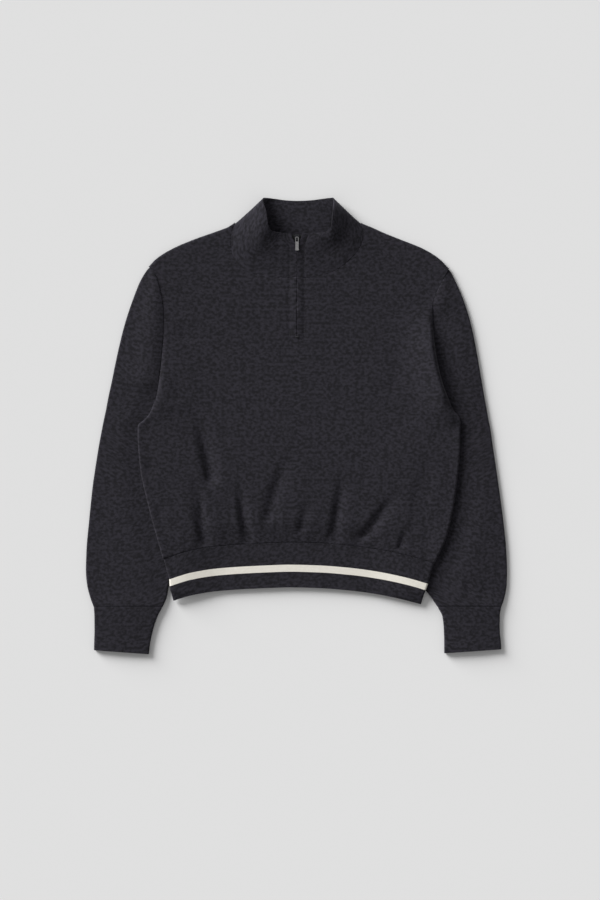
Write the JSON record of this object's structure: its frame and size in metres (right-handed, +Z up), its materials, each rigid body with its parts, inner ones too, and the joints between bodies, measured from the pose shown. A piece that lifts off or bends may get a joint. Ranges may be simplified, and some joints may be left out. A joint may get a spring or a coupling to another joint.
{
  "type": "half-zip knitted pullover",
  "caption": "Knitted pullover laid flat, with a stand collar, a short front zip, loose sleeves, ribbed cuffs and a hem band with a contrast stripe.",
  "frame": {"origin": "centre of the laid garment's box in plan, on the surface it lies on", "axes": "+Z up from the surface, +Y towards the collar, +X towards the right side of the picture"},
  "size_m": [0.6733, 0.7291, 0.0286],
  "materials": {
    "charcoal_knit": "matte knitted wool blend",
    "charcoal_band_knit": "matte doubled knit",
    "zip_tape_weave": "matte woven tape",
    "polished_metal": "polished"
  },
  "bodies": {
    "garment": {"front_panel": "charcoal_knit", "back_panel": "charcoal_knit", "sleeve_left": "charcoal_knit", "sleeve_right": "charcoal_knit", "cuff_left": "charcoal_band_knit", "cuff_right": "charcoal_band_knit", "hem_band": "charcoal_band_knit", "collar": "charcoal_band_knit", "zip_tape": "zip_tape_weave", "zip_slider": "polished_metal"},
    "pull_tab": {"zip_pull_tab": "polished_metal"}
  },
  "joints": [
    {"name": "pull_tab_hinge", "type": "hinge", "parent": "garment", "child": "pull_tab", "pos_m": [0.0009, 0.30089, 0.01595], "axis": [-1, 0, 0], "range_deg": [0, 170]}
  ]
}
